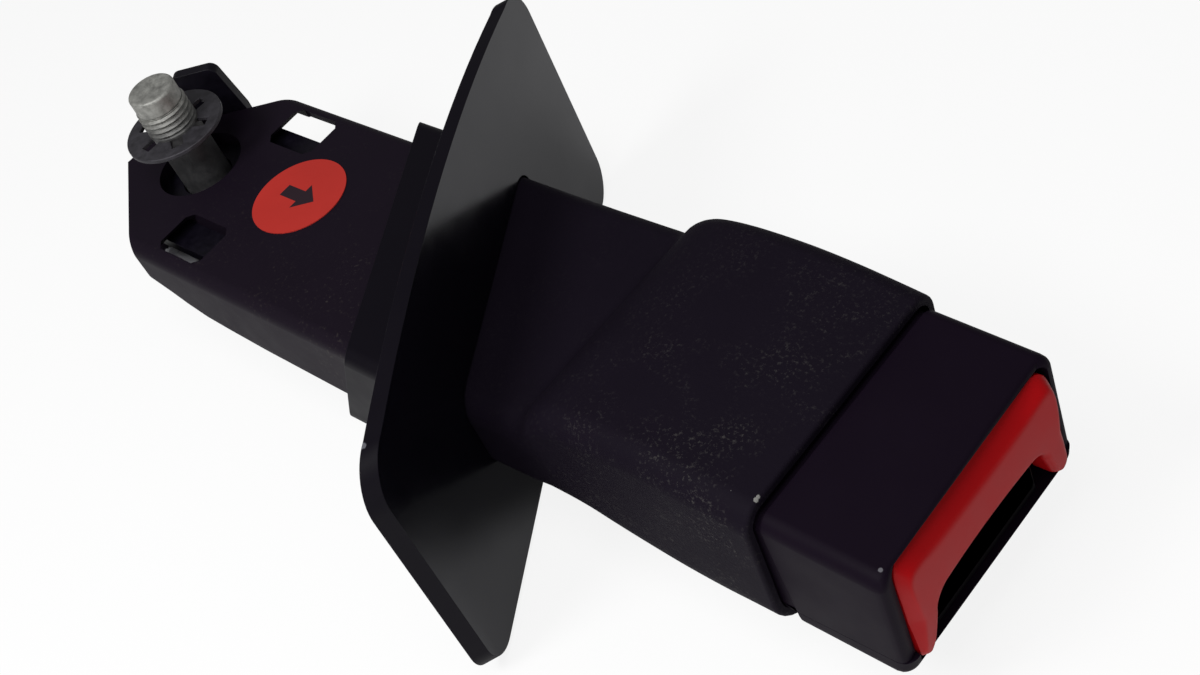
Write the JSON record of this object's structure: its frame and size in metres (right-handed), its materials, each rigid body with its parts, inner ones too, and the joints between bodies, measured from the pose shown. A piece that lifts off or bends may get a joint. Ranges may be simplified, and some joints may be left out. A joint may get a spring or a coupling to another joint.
{
  "type": "seat belt buckle",
  "caption": "Seat belt buckle on a rigid stalk: steel anchor strap with bolt, moulded rear cover, angled trim plate, grained sleeve and head with a red press button.",
  "frame": {"origin": "on the anchor bolt's axis, at the top face of the steel anchor strap", "axes": "+X along the stalk to the press button, +Z along the anchor bolt to its threaded end, +Y to the side where the strap's folded tab stands"},
  "size_m": [0.2174, 0.1067, 0.0603],
  "materials": {
    "black_steel": "satin e-coat",
    "zinc_steel": "zinc plated",
    "hardened_steel": "satin",
    "spring_steel": "bright",
    "black_plastic": "fine satin grain",
    "grained_black_plastic": "coarse matt grain",
    "red_plastic": "satin",
    "red_film": "matt printed film",
    "natural_plastic": "satin"
  },
  "bodies": {
    "stalk": {"anchor_strap": "black_steel", "spring_washer": "spring_steel", "rear_cover": "black_plastic", "rear_cover_base": "black_plastic", "cover_rivets": "zinc_steel", "side_label": "red_film", "trim_plate": "black_plastic", "stalk_sleeve": "grained_black_plastic", "head_casing_upper": "black_plastic", "head_casing_lower": "black_plastic", "casing_clips": "spring_steel", "button_springs": "spring_steel", "tongue_guide": "black_plastic", "buckle_frame": "zinc_steel", "frame_rivets": "zinc_steel", "latch_pin": "hardened_steel", "latch_spring": "spring_steel", "ejector_spring": "spring_steel"},
    "bolt": {"anchor_bolt": "zinc_steel", "retaining_washer": "zinc_steel"},
    "button": {"press_button": "red_plastic"},
    "latch": {"latch": "hardened_steel"},
    "ejector": {"ejector": "natural_plastic"}
  },
  "joints": [
    {"name": "bolt_turn", "type": "hinge", "parent": "stalk", "child": "bolt", "pos_m": [0, 0, 0], "axis": [0, 0, 1], "continuous": true},
    {"name": "button_press", "type": "slide", "parent": "stalk", "child": "button", "axis": [-1, 0, 0], "range_m": [0, 0.005], "stiffness_N_per_m": 600, "springref_m": -0.001, "deforming": ["button_springs"]},
    {"name": "latch_turn", "type": "hinge", "parent": "stalk", "child": "latch", "pos_m": [0.1575, 0, -0.0046], "axis": [0, -1, 0], "range_deg": [0, 16], "deforming": ["latch_spring"]},
    {"name": "ejector_slide", "type": "slide", "parent": "stalk", "child": "ejector", "axis": [-1, 0, 0], "range_m": [0, 0.0065], "stiffness_N_per_m": 150, "springref_m": -0.001, "deforming": ["ejector_spring"]}
  ],
  "couplings": [
    {"joint": "latch_turn", "follows": "button_press", "rad_per_m": 55.8}
  ]
}
